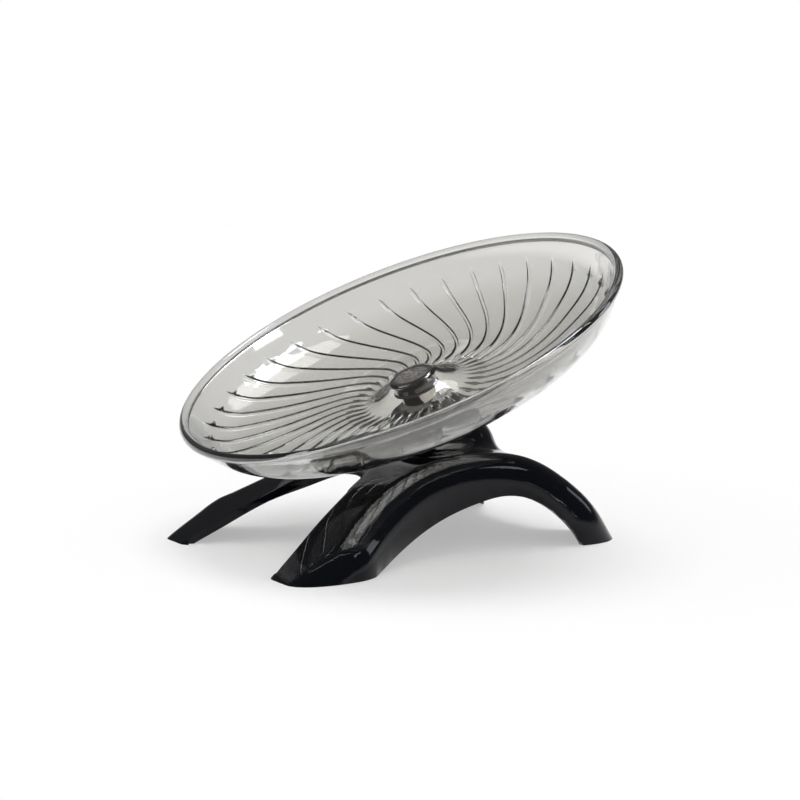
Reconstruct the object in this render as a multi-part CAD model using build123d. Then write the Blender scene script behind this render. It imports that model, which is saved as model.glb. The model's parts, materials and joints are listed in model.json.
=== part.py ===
"""Flying saucer wheel: a tilted clear dish that spins on a ball bearing above a four-legged shell stand."""
import os
from math import cos, radians, sin

from build123d import *

os.makedirs("parts", exist_ok=True)

# Saucer
rim_diameter = 180.0
rim_height = 78.4
tilt_angle = 24.9
bead_thickness = 3.6
wall_thickness = 2.0
dish_depth = 24.0
rib_count = 36
rib_width = 1.3
rib_height = 0.8

# Hub: the cap holds the bearing and the dish is pressed over it
cap_diameter = 16.5
cap_drop = 17.0
cap_roof = 1.0
cap_edge = 0.5
flange_overhang = 1.0
flange_thickness = 1.0
sleeve_thickness = 1.5

# Ball bearing, the 5 x 13 x 4 mm size
bearing_bore = 5.0
bearing_diameter = 13.0
bearing_width = 4.0
ball_diameter = 2.0
ball_count = 8
ball_clearance = 0.02
race_thickness = 1.2
shield_thickness = 0.25
shield_gap = 0.3

# Axle
axle_head_diameter = 8.0
axle_head_height = 1.1
axle_clearance = 0.02
spacer_diameter = 7.2
spacer_thickness = 0.8
nut_across_flats = 8.0
nut_thickness = 4.0
washer_diameter = 10.0
washer_thickness = 1.0

# Stand
stand_half_length = 80.0
stand_half_width = 54.5
stand_height = 35.0
shell_thickness = 2.4
spindle_diameter = 14.4
spindle_thickness = 0.8
neck_diameter = 28.0
neck_gap = 7.0
notch_radius = 10.3
notch_round = 5.5
flank_round = 10.5
neck_round = 10.0
corner_round = 18.0
boss_diameter = 12.0
boss_length = 14.5
web_thickness = 1.8

# Sizes that follow from those above
rim_radius = rim_diameter / 2
bead_radius = bead_thickness / 2
cap_radius = cap_diameter / 2
bearing_radius = bearing_diameter / 2
bore_radius = bearing_bore / 2
ball_radius = ball_diameter / 2
pitch_radius = (bearing_radius + bore_radius) / 2
head_space = axle_head_height + cap_edge
bearing_top = -cap_drop - cap_roof - head_space
bearing_middle = bearing_top - bearing_width / 2
bearing_bottom = bearing_top - bearing_width
flange_bottom = bearing_bottom - spacer_thickness / 4
flange_top = flange_bottom + flange_thickness
post_top = bearing_bottom - spacer_thickness
dish_underside = -dish_depth - wall_thickness
neck_top = dish_underside - neck_gap
boss_end = neck_top - boss_length
axle_radius = bore_radius - axle_clearance
tilt_shift = bead_radius * sin(radians(tilt_angle))
saucer_place = Location((0, -tilt_shift, rim_height), (tilt_angle, 0, 0))

# The dish's inner surface from the foot of the hub cone to the bead: radius and depth shares
dish_shares = (
    (0.245, 1.0),
    (0.40, 0.996),
    (0.51, 0.973),
    (0.63, 0.90),
    (0.745, 0.78),
    (0.835, 0.65),
    (0.895, 0.48),
    (0.934, 0.29),
    (0.962, 0.10),
)
# The hub cone from its opening down to the dish: radius and depth shares
cone_shares = (
    (0.103, 0.722),
    (0.117, 0.78),
    (0.145, 0.87),
    (0.19, 0.955),
    (0.245, 1.0),
)
# A rib's centre line: radius share, and the angle about the saucer's axis
rib_shares = (
    (0.24, 136.7),
    (0.31, 132.5),
    (0.40, 134.8),
    (0.51, 141.7),
    (0.62, 148.7),
    (0.73, 154.7),
    (0.82, 158.5),
    (0.885, 160.7),
    (0.93, 162.5),
)
# The stand's top line, front to back: shares of the half length and the height
crown_shares = (
    (-1.06, -0.29),
    (-0.955, 0.0),
    (-0.81, 0.205),
    (-0.65, 0.42),
    (-0.50, 0.595),
    (-0.35, 0.755),
    (-0.15, 0.915),
    (0.06, 1.0),
    (0.30, 1.0),
    (0.4625, 0.92),
    (0.5875, 0.755),
    (0.6725, 0.575),
    (0.756, 0.345),
    (0.83, 0.10),
    (0.86, 0.0),
    (0.95, -0.35),
)
# The waist between a front and a back leg: shares of the half width and the half length
waist_shares = ((1.0, -0.60), (0.70, 0.05), (1.02, 0.62))
# The back scallop's middle and its two ends: shares of the half width and the half length
scallop_shares = ((-0.56, 0.87), (0.0, 0.725), (0.56, 0.87))
# The front notch's line through a foot's inner corner: shares of the half width and the half length
foot_corner_shares = (0.555, -0.95)
notch_slope_share = 0.41
# The height of the shell's edge from a front leg to a back leg: the left side is cut higher than the right
left_edge_shares = (
    (-0.72, -0.01),
    (-0.62, 0.068),
    (-0.52, 0.175),
    (-0.43, 0.278),
    (-0.33, 0.37),
    (-0.23, 0.44),
    (-0.125, 0.51),
    (0.0, 0.565),
    (0.12, 0.585),
    (0.25, 0.585),
    (0.35, 0.55),
    (0.445, 0.46),
    (0.535, 0.30),
    (0.625, -0.01),
)
right_edge_shares = (
    (-0.57, -0.01),
    (-0.49, 0.035),
    (-0.35, 0.15),
    (-0.09, 0.377),
    (0.15, 0.53),
    (0.25, 0.57),
    (0.345, 0.552),
    (0.437, 0.462),
    (0.522, 0.30),
    (0.612, -0.01),
)
# The height of the shell's edge along the front notch
notch_edge_shares = (
    (-0.935, -0.01),
    (-0.87, 0.19),
    (-0.74, 0.36),
    (-0.61, 0.50),
    (-0.47, 0.645),
    (-0.26, 0.735),
    (-0.12, 0.78),
)
# The height of the shell's edge along the back scallop
scallop_edge_shares = (
    (0.62, 0.60),
    (0.70, 0.49),
    (0.76, 0.35),
    (0.82, 0.17),
    (0.87, -0.01),
)
# The neck's foot: shares of the half length, the stand height and the neck radius
neck_foot_shares = (0.19, 0.70, 1.80)
# The neck between its foot and its top, square to the axle: shares of the boss length and the neck radius
neck_shares = ((0.95, 1.39), (0.55, 1.17))


def scaled(shares, first, second):
    return [(a * first, b * second) for a, b in shares]


def offset_line(points, distance):
    """Move a line of points sideways by a distance, to its right-hand side when walked in order."""
    moved = []
    for index, (x, y) in enumerate(points):
        before = points[max(index - 1, 0)]
        after = points[min(index + 1, len(points) - 1)]
        run = Vector(after[0] - before[0], after[1] - before[1], 0).normalized()
        moved.append((x + run.Y * distance, y - run.X * distance))
    return moved


def ring(inner_radius, outer_radius, bottom, top):
    """A tube, or a plain round bar where the inner radius is zero."""
    section = Circle(outer_radius)
    if inner_radius > 0:
        section -= Circle(inner_radius)
    return Pos(0, 0, bottom) * extrude(section, top - bottom)


def face_from(pieces):
    return make_face([edge for piece in pieces for edge in piece.edges()])


def make_dish_wall():
    inner_line = scaled(dish_shares, rim_radius, -dish_depth)
    outer_line = offset_line(inner_line, wall_thickness)
    cone_top = scaled(cone_shares, rim_radius, -dish_depth)
    cone_under = offset_line(cone_top, wall_thickness)[1:-1]
    sleeve_radius = cap_radius + sleeve_thickness
    sleeve_shoulder = (sleeve_radius, cone_under[0][1])
    profile = face_from(
        [
            Polyline((cap_radius, flange_top), (cap_radius, cone_top[0][1]), cone_top[0]),
            Spline(*cone_top),
            Spline(*inner_line),
            Line(inner_line[-1], outer_line[-1]),
            Spline(*outer_line),
            Spline(outer_line[0], *reversed(cone_under)),
            Polyline(cone_under[0], sleeve_shoulder, (sleeve_radius, flange_top), (cap_radius, flange_top)),
        ]
    )
    bead = Pos(rim_radius - bead_radius, -bead_radius) * Circle(bead_radius)
    return revolve(Plane.XZ * (profile + bead), Axis.Z)


def make_rib():
    """One curved rib: an upright strip cut down to a thin layer that follows the dish."""
    centre_line = []
    for radius_share, angle in rib_shares:
        radius = radius_share * rim_radius
        centre_line.append((radius * cos(radians(angle)), radius * sin(radians(angle))))
    left = offset_line(centre_line, -rib_width / 2)
    right = offset_line(centre_line, rib_width / 2)
    strip = face_from(
        [
            Spline(*left),
            Line(left[-1], right[-1]),
            Spline(*right),
            Line(right[0], left[0]),
        ]
    )
    strip = Pos(0, 0, dish_underside) * extrude(strip, -dish_underside)
    inner_line = scaled(dish_shares, rim_radius, -dish_depth)
    raised = offset_line(inner_line, -rib_height)
    sunk = offset_line(inner_line, wall_thickness / 2)
    layer = face_from(
        [
            Spline(*raised),
            Line(raised[-1], sunk[-1]),
            Spline(*sunk),
            Line(sunk[0], raised[0]),
        ]
    )
    return strip & revolve(Plane.XZ * layer, Axis.Z)


def make_dish():
    rib = make_rib()
    ribs = [Rot(0, 0, index * 360 / rib_count) * rib for index in range(rib_count)]
    return make_dish_wall() + ribs


def make_cap():
    cap = ring(bearing_radius, cap_radius, flange_bottom, -cap_drop)
    shoulder_radius = bearing_radius - race_thickness * 0.75
    cap += ring(shoulder_radius, cap_radius, bearing_top, -cap_drop)
    cap += ring(0, cap_radius, -cap_drop - cap_roof, -cap_drop)
    cap = fillet(cap.edges().sort_by(Axis.Z)[-1], cap_edge)
    return cap + ring(bearing_radius, cap_radius + flange_overhang, flange_bottom, flange_top)


def make_outer_ring():
    outer_ring = ring(bearing_radius - race_thickness, bearing_radius, bearing_bottom, bearing_top)
    outer_ring -= Pos(0, 0, bearing_middle) * Torus(pitch_radius, ball_radius + ball_clearance)
    return outer_ring - make_shields()


def make_inner_ring():
    inner_ring = ring(bore_radius, bore_radius + race_thickness, bearing_bottom, bearing_top)
    return inner_ring - Pos(0, 0, bearing_middle) * Torus(pitch_radius, ball_radius + ball_clearance)


def make_balls():
    places = PolarLocations(pitch_radius, ball_count)
    return Compound([Pos(0, 0, bearing_middle) * place * Sphere(ball_radius) for place in places])


def make_cage():
    half_thickness = race_thickness * 0.3
    half_height = ball_radius + shield_thickness
    cage = ring(
        pitch_radius - half_thickness,
        pitch_radius + half_thickness,
        bearing_middle - half_height,
        bearing_middle + half_height,
    )
    pocket = Rot(0, 90, 0) * Cylinder(ball_radius + ball_clearance, race_thickness)
    return cage - [Pos(0, 0, bearing_middle) * place * pocket for place in PolarLocations(pitch_radius, ball_count)]


def make_shields():
    inner_radius = bore_radius + race_thickness + shield_gap
    outer_radius = bearing_radius - race_thickness / 2
    low = ring(inner_radius, outer_radius, bearing_bottom, bearing_bottom + shield_thickness)
    high = ring(inner_radius, outer_radius, bearing_top - shield_thickness, bearing_top)
    return Compound([*low.solids(), *high.solids()])


def make_axle():
    nut_end = boss_end - washer_thickness - nut_thickness
    axle = ring(0, axle_radius, nut_end - washer_thickness, bearing_top)
    head = ring(0, axle_head_diameter / 2, bearing_top, bearing_top + axle_head_height)
    head = fillet(head.edges().sort_by(Axis.Z)[-1], axle_head_height / 3)
    socket = RegularPolygon(axle_radius * 0.6, 6)
    socket = Pos(0, 0, bearing_top + axle_head_height / 3) * extrude(socket, axle_head_height)
    return axle + head - socket


def make_spindle_tube():
    outer_radius = spindle_diameter / 2
    return ring(outer_radius - spindle_thickness, outer_radius, neck_top, post_top)


def make_spacer():
    return ring(bore_radius, spacer_diameter / 2, post_top, bearing_bottom)


def make_washer():
    return ring(bore_radius, washer_diameter / 2, boss_end - washer_thickness, boss_end)


def make_nut():
    nut_top = boss_end - washer_thickness
    nut = RegularPolygon(nut_across_flats / 2, 6, major_radius=False)
    nut = Pos(0, 0, nut_top - nut_thickness) * extrude(nut, nut_thickness)
    return nut - ring(0, bore_radius, nut_top - nut_thickness, nut_top)


def circle_through(points, widening):
    arc = ThreePointArc(*points)
    return Pos(*arc.arc_center) * Circle(arc.radius + widening)


def make_notch(widening):
    """The gap between the front legs, seen from above: a round bottom with two straight sides."""
    corner_x = foot_corner_shares[0] * stand_half_width
    corner_y = foot_corner_shares[1] * stand_half_length
    side = Vector(notch_slope_share, -1, 0).normalized()
    across = Vector(-side.Y, side.X, 0)
    corner_reach = corner_x * across.X + corner_y * across.Y
    middle_y = (corner_reach - notch_radius) / across.Y
    reach = notch_radius + widening
    start = Vector(0, middle_y, 0) + across * reach
    end = start + side * stand_half_length
    wedge = Polygon((-start.X, start.Y), (-end.X, end.Y), (end.X, end.Y), (start.X, start.Y), align=None)
    return wedge + Pos(0, middle_y) * Circle(reach)


def make_outline(inset):
    """The stand seen from above, drawn inwards by the inset."""
    outline = Rectangle((stand_half_width - inset) * 2, stand_half_length * 3)
    waist = circle_through(scaled(waist_shares, stand_half_width, stand_half_length), inset)
    outline -= waist
    outline -= mirror(waist, Plane.YZ)
    corners = [v for v in outline.vertices() if abs(v.Y) < stand_half_length]
    outline = fillet(corners, corner_round - inset)
    outline -= make_notch(inset)
    return outline - circle_through(scaled(scallop_shares, stand_half_width, stand_half_length), inset)


def make_roof(inset):
    """The stand's arched top as one bar across the whole width."""
    crown = offset_line(scaled(crown_shares, stand_half_length, stand_height), inset)
    depth = -stand_height
    side = Polyline(crown[-1], (crown[-1][0], depth), (crown[0][0], depth), crown[0])
    profile = face_from([Spline(*crown), side])
    return Pos(-stand_half_width * 2, 0, 0) * extrude(Plane.YZ * profile, stand_half_width * 4)


def make_neck(inset):
    place_share, height_share, radius_share = neck_foot_shares
    foot = Pos(0, place_share * stand_half_length, height_share * stand_height)
    stations = [foot * Circle(radius_share * neck_diameter / 2 - inset)]
    for drop_share, radius_share in neck_shares:
        place = Pos(0, 0, neck_top - drop_share * boss_length)
        stations.append(saucer_place * place * Circle(radius_share * neck_diameter / 2 - inset))
    top = saucer_place * Pos(0, 0, neck_top - inset) * Circle(neck_diameter / 2 - inset)
    return loft([*stations, top])


def is_flank(edge):
    return abs(edge.position_at(0.5).X) > stand_half_width * 0.6


def top_edges(body):
    """The long edges round the stand's top, without its two ends below the floor."""
    ends = [crown_shares[0][0] * stand_half_length, crown_shares[-1][0] * stand_half_length]
    edges = body.faces().sort_by(Axis.Z)[-1].edges()
    return [e for e in edges if min(abs(e.position_at(0.5).Y - end) for end in ends) > shell_thickness * 2]


def make_stand_body(inset):
    """The stand as a solid lump, drawn inwards by the inset; it runs on below the floor."""
    outline = make_outline(inset)
    body = make_roof(inset) & Pos(0, 0, -stand_height) * extrude(outline, stand_height * 3)
    body = fillet([e for e in top_edges(body) if is_flank(e)], flank_round - inset)
    body = fillet([e for e in top_edges(body) if not is_flank(e)], notch_round - inset)
    body += make_neck(inset)
    foot_of_neck = neck_foot_shares[1] * stand_height
    joint = [e for e in body.edges() if e.is_closed and e.bounding_box().min.Z > foot_of_neck]
    joint = [e for e in joint if e.bounding_box().max.Z < stand_height + notch_round]
    return fillet(joint, neck_round + inset)


def under_edge(shares):
    """Everything below one edge line of the shell, as a bar across the whole width."""
    line = scaled(shares, stand_half_length, stand_height)
    depth = -stand_height
    side = Polyline(line[-1], (line[-1][0], depth), (line[0][0], depth), line[0])
    profile = face_from([Spline(*line), side])
    return Pos(-stand_half_width * 2, 0, 0) * extrude(Plane.YZ * profile, stand_half_width * 4)


def make_edge_cuts():
    """What is cut away under the shell so that its edge arches from foot to foot."""
    reach = shell_thickness * 1.5
    tall = stand_height * 2
    side = Box(stand_half_width, stand_half_length * 3, stand_height * 4)
    left = under_edge(left_edge_shares) & Pos(-stand_half_width, 0, 0) * side
    right = under_edge(right_edge_shares) & Pos(stand_half_width, 0, 0) * side
    notch = Pos(0, 0, -stand_height) * extrude(make_notch(reach), tall)
    scallop_line = scaled(scallop_shares, stand_half_width, stand_half_length)
    scallop = Pos(0, 0, -stand_height) * extrude(circle_through(scallop_line, reach), tall)
    front = notch & under_edge(notch_edge_shares)
    back = scallop & under_edge(scallop_edge_shares)
    return [left, right, front, back]


def make_webs(hollow):
    """Four plates that tie the axle boss to the inside of the neck."""
    height = boss_length - washer_thickness * 2
    plate = Box(neck_diameter * 2, web_thickness, height, align=(Align.CENTER, Align.CENTER, Align.MAX))
    plates = [Pos(0, 0, neck_top) * Rot(0, 0, angle) * plate for angle in (45, 135)]
    return [(saucer_place * p) & hollow for p in plates]


def make_stand():
    hollow = make_stand_body(shell_thickness)
    floor = Pos(0, 0, -stand_height * 2) * Box(stand_half_width * 4, stand_half_length * 4, stand_height * 4)
    shell = make_stand_body(0) - hollow - floor
    shell -= make_edge_cuts()
    boss = saucer_place * ring(0, boss_diameter / 2, boss_end, neck_top)
    post = saucer_place * ring(0, spindle_diameter / 2 - spindle_thickness, neck_top - shell_thickness, post_top)
    shell = shell + boss + post + make_webs(hollow)
    return shell - saucer_place * ring(0, bore_radius, boss_end - boss_length, post_top)


nodes = {
    "saucer_dish": saucer_place * make_dish(),
    "hub_cap": saucer_place * make_cap(),
    "bearing_outer_ring": saucer_place * make_outer_ring(),
    "bearing_inner_ring": saucer_place * make_inner_ring(),
    "bearing_balls": saucer_place * make_balls(),
    "bearing_cage": saucer_place * make_cage(),
    "bearing_shields": saucer_place * make_shields(),
    "axle_bolt": saucer_place * make_axle(),
    "spindle_tube": saucer_place * make_spindle_tube(),
    "axle_spacer": saucer_place * make_spacer(),
    "axle_washer": saucer_place * make_washer(),
    "axle_nut": saucer_place * make_nut(),
    "stand_shell": make_stand(),
}
for name, shape in nodes.items():
    shape.label = name
    export_step(shape, f"parts/{name}.step")
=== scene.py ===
"""Looks of the flying saucer wheel: a clear smoke dish on a glossy black stand, in white studio light."""

import json
import math

import bmesh
import bpy
from mathutils import Matrix, Vector

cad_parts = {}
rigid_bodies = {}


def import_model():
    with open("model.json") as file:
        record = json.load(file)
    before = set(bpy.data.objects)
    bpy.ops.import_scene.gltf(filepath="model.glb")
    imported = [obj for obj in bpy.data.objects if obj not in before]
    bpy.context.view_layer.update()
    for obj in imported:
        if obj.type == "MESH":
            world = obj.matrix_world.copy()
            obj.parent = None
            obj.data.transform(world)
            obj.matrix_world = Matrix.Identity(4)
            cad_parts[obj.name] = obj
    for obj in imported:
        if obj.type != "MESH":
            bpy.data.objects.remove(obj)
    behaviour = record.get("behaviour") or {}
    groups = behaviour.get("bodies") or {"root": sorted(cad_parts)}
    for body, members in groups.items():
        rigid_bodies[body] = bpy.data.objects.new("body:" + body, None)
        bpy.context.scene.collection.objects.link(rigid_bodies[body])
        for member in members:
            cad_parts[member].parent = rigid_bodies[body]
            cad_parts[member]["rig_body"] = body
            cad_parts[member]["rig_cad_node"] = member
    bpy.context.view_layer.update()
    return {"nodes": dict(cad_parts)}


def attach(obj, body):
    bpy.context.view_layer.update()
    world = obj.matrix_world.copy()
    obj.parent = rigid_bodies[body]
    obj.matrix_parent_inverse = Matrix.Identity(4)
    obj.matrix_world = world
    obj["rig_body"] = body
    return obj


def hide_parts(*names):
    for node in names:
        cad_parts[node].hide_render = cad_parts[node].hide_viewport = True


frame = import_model()

MM = 0.001
# Vertices nearer to each other than this are one
doubles_reach = MM / 100

# The dish, in metres. Its form is the solids' own; its sleeve is thinner and its ribs are lower, wider
# and rounder, which is how they look through the clear wall.
rim_radius = 90 * MM
rim_height = 78.4 * MM
tilt = math.radians(24.9)
dish_depth = 24 * MM
wall_thickness = 2 * MM
bead_radius = 1.8 * MM
bead_points = 18
bead_clearance = 1.05
cap_radius = 8.25 * MM
sleeve_thickness = 0.5 * MM
sleeve_bottom = 22.8 * MM
sleeve_clearance = 1.4
# The wall's share of its full thickness at the hub cone's opening
cone_top_share = 0.45
# The dish's inner surface and hub cone: shares of the rim's radius and of the depth
dish_shares = (
    (0.245, 1.0), (0.40, 0.996), (0.51, 0.973), (0.63, 0.90), (0.745, 0.78),
    (0.835, 0.65), (0.895, 0.48), (0.934, 0.29), (0.962, 0.10),
)
cone_shares = ((0.103, 0.722), (0.117, 0.78), (0.145, 0.87), (0.19, 0.955), (0.245, 1.0))
dish_steps = 5
cone_steps = 3
dish_sharp = math.radians(50)

# The ribs
rib_count = 36
rib_width = 1.9 * MM
rib_height = 0.6 * MM
# A rib's centre line: share of the rim's radius, and the angle about the axis in degrees
rib_shares = (
    (0.24, 136.7), (0.31, 132.5), (0.40, 134.8), (0.51, 141.7), (0.62, 148.7),
    (0.73, 154.7), (0.82, 158.5), (0.885, 160.7), (0.92, 162.1),
)
rib_line_steps = 4
# How high a rib's rounded section stands at each column from its middle to its foot
rib_section = (1.0, 0.93, 0.74, 0.42)
# How high it stands over the last rings before each end, where it also narrows by a column a ring
rib_end_rise = (0.3, 0.65, 0.9)
tip_columns = 2
# The rings whose columns are gathered for a rib: shares of the rim's radius, and the first that rises
gathered_from = 0.20
gathered_to = 0.956
rib_start = 2
# One sector of the dish carries one rib
sector = 2 * math.pi / rib_count
sector_columns = 12
column = sector / sector_columns
spacing = rib_width / (2 * len(rib_section))
ring_reach = MM / 50

# The hub cap's section from the middle of its top round to the inside of its roof: radius and depth in mm
cap_section = (
    (0, 17.3), (6.7, 17.3), (7.0, 17.12), (7.3, 17.02), (7.7, 17.02), (8.0, 17.12),
    (8.16, 17.35), (8.17, 17.7), (8.02, 18.4), (7.82, 19.5), (7.58, 20.8), (7.4, 21.9),
    (7.36, 22.5), (7.5, 22.78), (8.0, 22.82), (8.95, 22.83), (9.18, 22.95), (9.24, 23.2),
    (9.2, 23.6), (9.05, 23.78), (6.7, 23.78), (6.52, 23.6), (6.52, 19.62), (5.7, 19.6),
    (5.6, 19.4), (5.6, 18.1), (5.4, 18.0), (0, 18.0),
)
cap_columns = 96
cap_sharp = math.radians(35)

stand_sharp = math.radians(40)
stand_evenness = 100

# The studio: levels are shares of white, angles are in degrees
camera_place = (546.26 * MM, -371.63 * MM, 143.88 * MM)
camera_turn = (82.2, 0, 55.686)
camera_lens = 78.02
camera_sensor = 36
camera_near = 10 * MM
ambient_level = 0.5
# The backdrop that metal and the clear dish show is white at the horizon and dark above it
backdrop_rise = (0.06, 0.24)
backdrop_levels = (1.0, 0.12)
floor_size = 6
floor_level = 0.62
floor_glow = 0.4
daylight_level = 0.5
daylight_spread = 40
daylight_turn = (-12, -10, 0)
window_colour = (0.88, 0.94, 1.0)
window_aim = (0, 0, 50 * MM)
# Each window's place and size in metres, and its level
windows = {
    "overhead_window": ((-0.045, 0.18, 0.93), (0.38, 0.26), 7),
    "high_window": ((0.57, 0.33, 0.8), (0.3, 0.12), 4),
    "back_window": ((0.27, 0.87, 0.47), (0.2, 0.3), 2.5),
    "side_strip": ((0.97, 0.0, 0.25), (0.2, 0.06), 5),
}

# Sockets of a Mix node that mixes colours: its two inputs and its output
mix_first = 6
mix_second = 7
mix_out = 2


# Lines and points
def smooth_line(points, steps):
    """Points along a smooth curve through the given ones, ends included."""
    line = []
    last = len(points) - 1
    for index in range(last):
        before = points[max(index - 1, 0)]
        here = points[index]
        there = points[index + 1]
        after = points[min(index + 2, last)]
        for step in range(steps):
            t = step / steps
            point = []
            for a, b, c, d in zip(before, here, there, after):
                bend = (2 * a - 5 * b + 4 * c - d) * t * t + (3 * b - a - 3 * c + d) * t * t * t
                point.append((2 * b + (c - a) * t + bend) / 2)
            line.append(tuple(point))
    line.append(points[-1])
    return line


def offset_line(points, distance):
    """The same line moved sideways, to its right-hand side when walked in order."""
    moved = []
    for index, (x, y) in enumerate(points):
        before = points[max(index - 1, 0)]
        after = points[min(index + 1, len(points) - 1)]
        run = Vector((after[0] - before[0], after[1] - before[1])).normalized()
        moved.append((x + run.y * distance, y - run.x * distance))
    return moved


def value_along(points, place):
    """The second value at a place along a line of (place, value) points."""
    for (low, low_value), (high, high_value) in zip(points, points[1:]):
        if place <= high:
            share = max(0, (place - low) / (high - low))
            return low_value + (high_value - low_value) * share
    return points[-1][1]


# Mesh helpers
def pick(test):
    """In edit mode, select just the vertices whose place passes the test."""
    mesh = bmesh.from_edit_mesh(bpy.context.object.data)
    for vert in mesh.verts:
        vert.select_set(test(vert.co))
    bmesh.update_edit_mesh(bpy.context.object.data)


def draw_profile(name, points, closed):
    """A new object with one line of vertices in the XZ plane, left in edit mode with all of it selected."""
    bpy.ops.object.select_all(action="DESELECT")
    bpy.ops.mesh.primitive_plane_add(size=MM)
    piece = bpy.context.object
    piece.name = name
    bpy.ops.object.mode_set(mode="EDIT")
    bpy.ops.mesh.select_mode(type="VERT")
    bpy.ops.mesh.merge(type="CENTER")
    bpy.ops.transform.translate(value=(points[0][0], 0, points[0][1]))
    for (x, z), (next_x, next_z) in zip(points, points[1:]):
        bpy.ops.mesh.extrude_region_move(TRANSFORM_OT_translate={"value": (next_x - x, 0, next_z - z)})
    if closed:
        ends = [Vector((x, 0, z)) for x, z in (points[0], points[-1])]
        pick(lambda co: min((co - end).length for end in ends) < doubles_reach / 10)
        bpy.ops.mesh.edge_face_add()
    bpy.ops.mesh.select_all(action="SELECT")
    return piece


def spin_profile(steps, angle):
    bpy.ops.mesh.spin(steps=steps, angle=angle, center=(0, 0, 0), axis=(0, 0, 1))


def finish_mesh(sharp_angle):
    """Merge doubles, turn the faces outwards and shade smooth up to an angle."""
    bpy.ops.mesh.select_all(action="SELECT")
    bpy.ops.mesh.remove_doubles(threshold=doubles_reach)
    bpy.ops.mesh.normals_make_consistent(inside=False)
    bpy.ops.object.mode_set(mode="OBJECT")
    bpy.ops.object.shade_smooth_by_angle(angle=sharp_angle)


def saucer_centre():
    """The middle of the rim's top plane, which the saucer's axis passes through."""
    return (0, -bead_radius * math.sin(tilt), rim_height)


def place_on_axis(piece):
    """Tilt a piece modelled upright about the saucer's own axis into its place in the object."""
    piece.matrix_world = Matrix.Translation(saucer_centre()) @ Matrix.Rotation(tilt, 4, "X")
    bpy.ops.object.transform_apply(location=True, rotation=True, scale=True)


# The dish
def dish_profile():
    """The closed section of the dish, and how many of its points lie on the upper side, from the cone out."""
    inner = smooth_line([(r * rim_radius, -d * dish_depth) for r, d in dish_shares], dish_steps)
    cone = smooth_line([(r * rim_radius, -d * dish_depth) for r, d in cone_shares], cone_steps)
    outer = offset_line(inner, wall_thickness)
    cone_under = []
    cone_last = len(cone) - 1
    for index in range(1, cone_last):
        thickness = wall_thickness * (cone_top_share + (1 - cone_top_share) * index / cone_last)
        point = offset_line(cone, thickness)[index]
        if point[0] > cap_radius + sleeve_thickness * sleeve_clearance:
            cone_under.append(point)
    bead = Vector((rim_radius - bead_radius, -bead_radius))

    def clear_of_bead(points):
        return [point for point in points if (Vector(point) - bead).length > bead_radius * bead_clearance]

    outer = clear_of_bead(outer)
    inner = clear_of_bead(inner)
    start = math.atan2(inner[-1][1] - bead.y, inner[-1][0] - bead.x) % (2 * math.pi)
    end = math.atan2(outer[-1][1] - bead.y, outer[-1][0] - bead.x)
    around = []
    for step in range(bead_points):
        turn = start + (end - start) * (step + 0.5) / bead_points
        around.append((bead.x + bead_radius * math.cos(turn), bead.y + bead_radius * math.sin(turn)))
    sleeve_radius = cap_radius + sleeve_thickness
    sleeve = [
        (sleeve_radius, cone_under[0][1]),
        (sleeve_radius, -sleeve_bottom),
        (cap_radius, -sleeve_bottom),
        (cap_radius, cone[0][1]),
    ]
    upper_side = cone[:-1] + inner
    return upper_side + around + outer[::-1] + cone_under[::-1] + sleeve, len(upper_side)


def turn_of(co):
    return math.atan2(co.y, co.x)


def on_ring(co, ring):
    return abs(math.hypot(co.x, co.y) - ring[0]) < ring_reach and abs(co.z - ring[1]) < ring_reach


def gather_columns(rings, outer_end, middle):
    """Draw a sector's middle columns together to a rib's width, and let them spread past its outer end."""
    for index, ring in enumerate(rings):
        pick(lambda co: on_ring(co, ring) and abs(turn_of(co) - middle) < column * (len(rib_section) + 0.5))
        centre = (ring[0] * math.cos(middle), ring[0] * math.sin(middle), ring[1])
        full = spacing / (ring[0] * column)
        spread = max(0, (index - outer_end) / (len(rings) - outer_end))
        squeeze = full + (1 - full) * spread
        bpy.ops.transform.resize(value=(squeeze, squeeze, squeeze), center_override=centre)


def raise_columns(rings, middle, side, height):
    """Lift the two columns that lie so many steps to either side of a rib's middle, on the given rings."""
    def chosen(co):
        near = any(on_ring(co, ring) for ring in rings)
        sideways = abs(math.hypot(co.x, co.y) * (turn_of(co) - middle))
        return near and abs(sideways - side * spacing) < spacing / 2
    pick(chosen)
    bpy.ops.transform.shrink_fatten(value=height)


def raise_rib(rings, outer_end, middle):
    """Lift a rib with a rounded section and tapered ends off the sector's gathered columns."""
    end_rings = len(rib_end_rise)
    for side, share in enumerate(rib_section):
        between_ends = rings[rib_start + end_rings:outer_end - end_rings]
        raise_columns(between_ends, middle, side, rib_height * share)
        for step, rise in enumerate(rib_end_rise):
            if side < step + tip_columns:
                both_ends = [rings[rib_start + step], rings[outer_end - 1 - step]]
                raise_columns(both_ends, middle, side, rib_height * share * rise)


def turn_along_rib(dish, middle):
    """Turn each ring of the sector about the axis, so that its rib follows the curved centre line."""
    line = smooth_line([(share * rim_radius, angle) for share, angle in rib_shares], rib_line_steps)
    mesh = bmesh.from_edit_mesh(dish.data)
    for vert in mesh.verts:
        radius = math.hypot(vert.co.x, vert.co.y)
        turn = math.radians(value_along(line, radius)) - middle
        vert.co.rotate(Matrix.Rotation(turn, 3, "Z"))
    bmesh.update_edit_mesh(dish.data)


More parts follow.
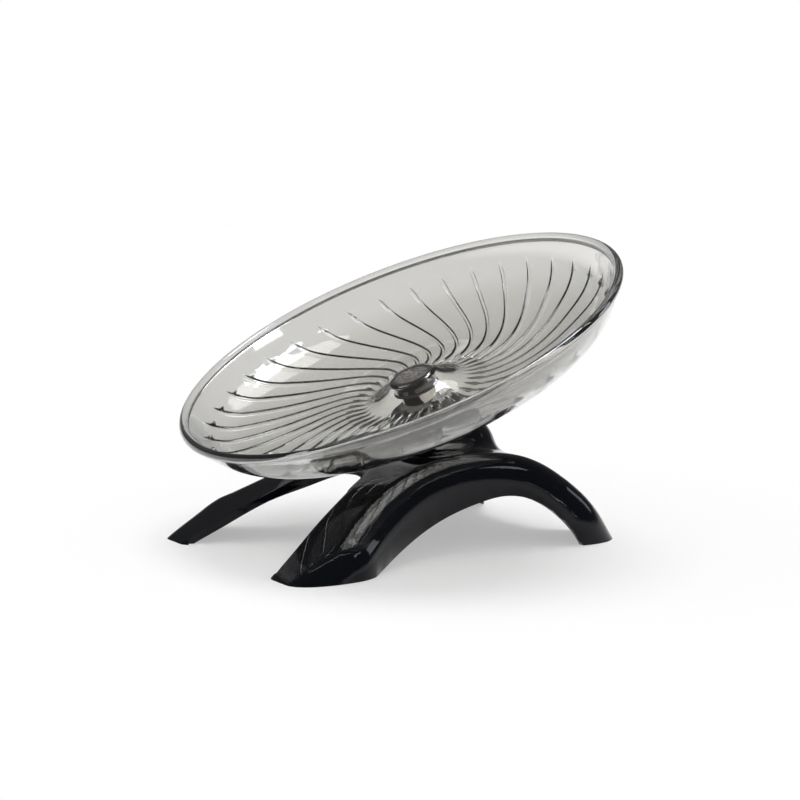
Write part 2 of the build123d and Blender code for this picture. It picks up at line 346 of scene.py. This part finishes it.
def copy_round(dish):
    """Copy the sector round the axis, once for each rib."""
    bpy.ops.object.mode_set(mode="OBJECT")
    pivot = bpy.data.objects.new("pivot", None)
    bpy.context.scene.collection.objects.link(pivot)
    pivot.rotation_euler = (0, 0, sector)
    copies = dish.modifiers.new("copies", "ARRAY")
    copies.count = rib_count
    copies.use_relative_offset = False
    copies.use_object_offset = True
    copies.offset_object = pivot
    bpy.ops.object.modifier_apply(modifier="copies")
    bpy.data.objects.remove(pivot)
    bpy.ops.object.mode_set(mode="EDIT")


def make_dish():
    """The clear dish: one sector with a straight rib, turned along the rib's line and then copied round."""
    profile, upper_points = dish_profile()
    dish = draw_profile("clear_dish", profile, closed=True)
    spin_profile(sector_columns, sector)
    turns = [turn_of(vert.co) for vert in bmesh.from_edit_mesh(dish.data).verts]
    middle = math.copysign(sector / 2, sum(turns))
    first = gathered_from * rim_radius
    last = gathered_to * rim_radius
    rings = [point for point in profile[:upper_points] if first <= point[0] <= last]
    outer_end = sum(1 for ring in rings if ring[0] <= rib_shares[-1][0] * rim_radius)
    gather_columns(rings, outer_end, middle)
    raise_rib(rings, outer_end, middle)
    turn_along_rib(dish, middle)
    copy_round(dish)
    finish_mesh(dish_sharp)
    place_on_axis(dish)
    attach(dish, "saucer")
    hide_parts("saucer_dish")
    return dish


def make_cap():
    """The hub cap: a plug with a recessed top, sides that draw in and a foot flange under the sleeve."""
    points = [(radius * MM, -depth * MM) for radius, depth in cap_section]
    cap = draw_profile("hub_cap_plug", points, closed=False)
    spin_profile(cap_columns, 2 * math.pi)
    finish_mesh(cap_sharp)
    place_on_axis(cap)
    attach(cap, "saucer")
    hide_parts("hub_cap")
    return cap


def make_stand():
    """The stand: its solid's own mesh, merged and with its normals weighted by the faces' areas."""
    source = frame["nodes"]["stand_shell"]
    bpy.ops.object.select_all(action="DESELECT")
    stand = source.copy()
    stand.data = source.data.copy()
    stand.parent = None
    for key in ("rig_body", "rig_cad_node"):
        if key in stand:
            del stand[key]
    bpy.context.scene.collection.objects.link(stand)
    stand.name = "black_stand"
    bpy.context.view_layer.objects.active = stand
    stand.select_set(True)
    bpy.ops.object.mode_set(mode="EDIT")
    bpy.ops.mesh.select_all(action="SELECT")
    bpy.ops.mesh.remove_doubles(threshold=doubles_reach)
    bpy.ops.object.mode_set(mode="OBJECT")
    bpy.ops.object.shade_smooth_by_angle(angle=stand_sharp)
    even = stand.modifiers.new("even", "WEIGHTED_NORMAL")
    even.weight = stand_evenness
    even.keep_sharp = True
    bpy.ops.object.modifier_apply(modifier="even")
    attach(stand, "stand")
    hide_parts("stand_shell")
    return stand


# Material helpers
def linear(hex_colour):
    """An sRGB hex colour turned to the linear values that shaders use."""
    values = []
    for start in (0, 2, 4):
        value = int(hex_colour[start:start + 2], 16) / 255
        values.append(value / 12.92 if value <= 0.04045 else ((value + 0.055) / 1.055) ** 2.4)
    return (*values, 1)


def add_node(material, kind, settings=None, links=None):
    """One node with its settings, and links from other nodes' outputs into its inputs."""
    node = material.node_tree.nodes.new(kind)
    for key, value in (settings or {}).items():
        if isinstance(key, str) and hasattr(node, key):
            setattr(node, key, value)
        else:
            node.inputs[key].default_value = value
    for key, (source, output) in (links or {}).items():
        material.node_tree.links.new(source.outputs[output], node.inputs[key])
    return node


def join(material, source, output, target, socket):
    material.node_tree.links.new(source.outputs[output], target.inputs[socket])


def new_material(name, shader_settings):
    material = bpy.data.materials.new(name)
    material.use_nodes = True
    material.node_tree.nodes.clear()
    shader = add_node(material, "ShaderNodeBsdfPrincipled", shader_settings)
    add_node(material, "ShaderNodeOutputMaterial", links={"Surface": (shader, "BSDF")})
    place = add_node(material, "ShaderNodeTexCoord")
    return material, shader, place


def axis_parts(material, place):
    """Object coordinates turned upright about the saucer's axis, split into their three parts."""
    upright = add_node(material, "ShaderNodeMapping", {
        "vector_type": "TEXTURE", "Location": saucer_centre(), "Rotation": (tilt, 0, 0),
    }, {"Vector": (place, "Object")})
    return add_node(material, "ShaderNodeSeparateXYZ", links={"Vector": (upright, "Vector")})


def ramp(material, value, span, results=(0, 1), smooth=False):
    """A value's span turned into another one, level beyond both ends."""
    return add_node(material, "ShaderNodeMapRange", {
        "interpolation_type": "SMOOTHSTEP" if smooth else "LINEAR",
        "From Min": span[0], "From Max": span[1], "To Min": results[0], "To Max": results[1],
    }, {"Value": value})


def calculate(material, operation, first, second):
    return add_node(material, "ShaderNodeMath", {"operation": operation}, {0: first, 1: second})


def mix_colours(material, share, first, second):
    """A node that mixes two colours by a share from 0 to 1."""
    return add_node(material, "ShaderNodeMix", {"data_type": "RGBA", mix_first: first, mix_second: second},
                    {0: share})


def add_noise(material, place, size, detail):
    """Noise with blotches of the given size."""
    return add_node(material, "ShaderNodeTexNoise", {"Scale": 1 / size, "Detail": detail},
                    {"Vector": (place, "Object")})


def add_relief(material, shader, noise, strength, depth):
    """Noise that shows as relief of the given depth on the surface."""
    bump = add_node(material, "ShaderNodeBump", {"Strength": strength, "Distance": depth},
                    {"Height": (noise, "Fac")})
    join(material, bump, "Normal", shader, "Normal")


def give(piece, material):
    piece.data.materials.clear()
    piece.data.materials.append(material)


# Finishes
def smoke_polystyrene():
    """Clear smoke polystyrene from a polished mould: hard glints over a warm grey, with painted shade that
    makes the grey deeper in the flat floor than up the wall; a trace of haze up the wall, and the slow waves
    of a big moulding."""
    floor_z = -dish_depth * 0.95
    wall_z = -dish_depth * 0.5
    bead_z = -dish_depth * 0.08
    under_bead_z = -dish_depth * 0.16
    clearest = 0.01
    haziest = 0.05
    material, shader, place = new_material("smoke_polystyrene_polished_mould", {
        "Transmission Weight": 1.0,
        "IOR": 1.59,
        "Coat Weight": 1.0,
        "Coat Roughness": 0.01,
    })
    height = (axis_parts(material, place), "Z")
    wall = ramp(material, height, (floor_z, wall_z), smooth=True)
    # Painted shade: the smoke grey is set by height alone, deeper in the flat floor and paler up the wall
    smoke_with_painted_shade = mix_colours(material, (wall, "Result"), linear("cfcdc6"), linear("dcdbd8"))
    under_bead = ramp(material, height, (bead_z, under_bead_z))
    hazed = calculate(material, "MULTIPLY", (wall, "Result"), (under_bead, "Result"))
    haze = ramp(material, (hazed, "Value"), (0, 1), (clearest, haziest))
    join(material, haze, "Result", shader, "Roughness")
    join(material, smoke_with_painted_shade, mix_out, shader, "Base Color")
    waves = add_noise(material, place, size=18 * MM, detail=1.0)
    add_relief(material, shader, waves, strength=0.15, depth=0.1 * MM)
    return material


def black_abs():
    """Black ABS, moulded glossy: near black, mirror-like, with the slight waviness of a thick moulding."""
    material, shader, place = new_material("black_abs_gloss_moulded", {
        "Base Color": linear("0d0f16"),
        "Roughness": 0.035,
        "IOR": 1.53,
        "Specular IOR Level": 0.22,
    })
    waves = add_noise(material, place, size=14 * MM, detail=2.0)
    add_relief(material, shader, waves, strength=0.1, depth=0.1 * MM)
    return material


def bright_tube():
    """Drawn steel tube, polished bright: mirror streaks along its length with faint draw marks."""
    material, shader, place = new_material("steel_tube_polished", {
        "Base Color": linear("dcd9d2"),
        "Metallic": 1.0,
        "Roughness": 0.06,
    })
    marks = add_noise(material, place, size=1.2 * MM, detail=1.0)
    add_relief(material, shader, marks, strength=0.08, depth=0.02 * MM)
    return material


def spark_eroded_cap():
    """Dark plastic, spark-eroded on top: a mottled grey face in a darker rim, over plain mauve-grey sides."""
    face_edge = (6.9 * MM, 6.2 * MM)
    side_top_z = -17.9 * MM
    spot_edge = (0.35, 0.65)
    material, shader, place = new_material("dark_nylon_spark_eroded", {
        "Roughness": 0.3,
        "IOR": 1.53,
    })
    parts = axis_parts(material, place)
    flat = add_node(material, "ShaderNodeCombineXYZ", links={"X": (parts, "X"), "Y": (parts, "Y")})
    radius = add_node(material, "ShaderNodeVectorMath", {"operation": "LENGTH"}, {0: (flat, "Vector")})
    face = ramp(material, (radius, "Value"), face_edge)
    grain = add_noise(material, place, size=1.1 * MM, detail=4.0)
    spots = ramp(material, (grain, "Fac"), spot_edge)
    mottled = mix_colours(material, (spots, "Result"), linear("3b3837"), linear("a09c99"))
    side = add_node(material, "ShaderNodeMath", {"operation": "LESS_THAN", 1: side_top_z}, {0: (parts, "Z")})
    plain = mix_colours(material, (side, "Value"), linear("4a4746"), linear("8c838a"))
    colour = add_node(material, "ShaderNodeMix", {"data_type": "RGBA"}, {
        0: (face, "Result"), mix_first: (plain, mix_out), mix_second: (mottled, mix_out),
    })
    join(material, colour, mix_out, shader, "Base Color")
    add_relief(material, shader, grain, strength=0.4, depth=0.1 * MM)
    return material


def ground_steel():
    """Ground and hardened steel: bright, with the fine marks that the grinding wheel leaves."""
    material, shader, place = new_material("bearing_steel_ground", {
        "Base Color": linear("c4c5c8"),
        "Metallic": 1.0,
        "Roughness": 0.22,
    })
    marks = add_noise(material, place, size=0.4 * MM, detail=2.0)
    add_relief(material, shader, marks, strength=0.2, depth=0.02 * MM)
    return material


def zinc_plate():
    """Bright zinc plating on turned steel: a cool grey with a slight cloudiness."""
    material, shader, place = new_material("steel_zinc_plated", {
        "Metallic": 1.0,
        "Roughness": 0.3,
    })
    cloud = add_noise(material, place, size=3 * MM, detail=3.0)
    shade = mix_colours(material, (cloud, "Fac"), linear("a9adb3"), linear("c9ccd0"))
    join(material, shade, mix_out, shader, "Base Color")
    return material


def natural_nylon():
    """Natural nylon, moulded: milky and slightly waxy."""
    material, shader, place = new_material("nylon_natural_moulded", {
        "Roughness": 0.45,
        "IOR": 1.53,
        "Subsurface Weight": 0.1,
    })
    cloud = add_noise(material, place, size=1.5 * MM, detail=2.0)
    shade = mix_colours(material, (cloud, "Fac"), linear("d6cfbd"), linear("e2dccb"))
    join(material, shade, mix_out, shader, "Base Color")
    return material


# The studio
def make_camera():
    data = bpy.data.cameras.new("photo_view")
    camera = bpy.data.objects.new("photo_view", data)
    bpy.context.scene.collection.objects.link(camera)
    camera.location = camera_place
    camera.rotation_euler = [math.radians(angle) for angle in camera_turn]
    data.lens = camera_lens
    data.sensor_width = camera_sensor
    data.clip_start = camera_near
    bpy.context.scene.camera = camera


def add_window(name, place, size, level):
    """A soft rectangular lamp that only shows as a reflection, as a window does in a glossy surface."""
    data = bpy.data.lights.new(name, "AREA")
    data.shape = "RECTANGLE"
    data.size, data.size_y = size
    data.energy = level * math.pi * size[0] * size[1]
    data.color = window_colour
    lamp = bpy.data.objects.new(name, data)
    bpy.context.scene.collection.objects.link(lamp)
    lamp.location = place
    lamp.rotation_euler = (Vector(window_aim) - Vector(place)).to_track_quat("-Z", "Y").to_euler()
    lamp.visible_diffuse = False


def add_daylight():
    """Soft light from above: it adds its level of white to a matt surface that faces it."""
    data = bpy.data.lights.new("daylight", "SUN")
    data.energy = daylight_level * math.pi
    data.angle = math.radians(daylight_spread)
    lamp = bpy.data.objects.new("daylight", data)
    bpy.context.scene.collection.objects.link(lamp)
    lamp.rotation_euler = [math.radians(angle) for angle in daylight_turn]
    lamp.visible_glossy = False


def mirrored_rays(owner, rays):
    """1 for the rays by which metal and the clear dish show what is round them, and 0 for the others."""
    return calculate(owner, "MAXIMUM", (rays, "Is Glossy Ray"), (rays, "Is Transmission Ray"))


def make_world():
    """White behind the object, a backdrop that darkens upwards in reflections, and even light all round."""
    world = bpy.data.worlds.new("white_studio")
    bpy.context.scene.world = world
    world.use_nodes = True
    world.node_tree.nodes.clear()
    rays = add_node(world, "ShaderNodeLightPath")
    place = add_node(world, "ShaderNodeTexCoord")
    parts = add_node(world, "ShaderNodeSeparateXYZ", links={"Vector": (place, "Generated")})
    backdrop = ramp(world, (parts, "Z"), backdrop_rise, backdrop_levels, smooth=True)
    mirrored = mirrored_rays(world, rays)
    level = add_node(world, "ShaderNodeMapRange", {"To Min": ambient_level},
                     {"Value": (mirrored, "Value"), "To Max": (backdrop, "Result")})
    shown = calculate(world, "MAXIMUM", (rays, "Is Camera Ray"), (level, "Result"))
    sky = add_node(world, "ShaderNodeBackground", {"Color": (1, 1, 1, 1)}, {"Strength": (shown, "Value")})
    add_node(world, "ShaderNodeOutputWorld", links={"Surface": (sky, "Background")})


def make_floor():
    """White paper: matt, so that it keeps the object's shadow, with a glow that only seen rays get."""
    bpy.ops.object.select_all(action="DESELECT")
    bpy.ops.mesh.primitive_plane_add(size=floor_size, location=(0, 0, 0))
    floor = bpy.context.object
    floor.name = "white_floor"
    material = bpy.data.materials.new("white_paper_matt")
    material.use_nodes = True
    material.node_tree.nodes.clear()
    paper = add_node(material, "ShaderNodeBsdfDiffuse", {"Color": (floor_level, floor_level, floor_level, 1)})
    rays = add_node(material, "ShaderNodeLightPath")
    mirrored = mirrored_rays(material, rays)
    seen = calculate(material, "MAXIMUM", (rays, "Is Camera Ray"), (mirrored, "Value"))
    level = ramp(material, (seen, "Value"), (0, 1), (0, floor_glow))
    glow = add_node(material, "ShaderNodeEmission", {"Color": (1, 1, 1, 1)}, {"Strength": (level, "Result")})
    both = add_node(material, "ShaderNodeAddShader", links={0: (paper, "BSDF"), 1: (glow, "Emission")})
    add_node(material, "ShaderNodeOutputMaterial", links={"Surface": (both, "Shader")})
    give(floor, material)


make_camera()
make_world()
make_floor()
give(make_dish(), smoke_polystyrene())
give(make_cap(), spark_eroded_cap())
give(make_stand(), black_abs())
steel = ground_steel()
zinc = zinc_plate()
finishes = {
    "bearing_outer_ring": steel,
    "bearing_inner_ring": steel,
    "bearing_balls": steel,
    "bearing_shields": steel,
    "bearing_cage": natural_nylon(),
    "spindle_tube": bright_tube(),
    "axle_bolt": zinc,
    "axle_spacer": zinc,
    "axle_washer": zinc,
    "axle_nut": zinc,
}
for node, finish in finishes.items():
    give(frame["nodes"][node], finish)
for name, (place, size, level) in windows.items():
    add_window(name, place, size, level)
add_daylight()
bpy.context.scene.view_settings.view_transform = "Standard"
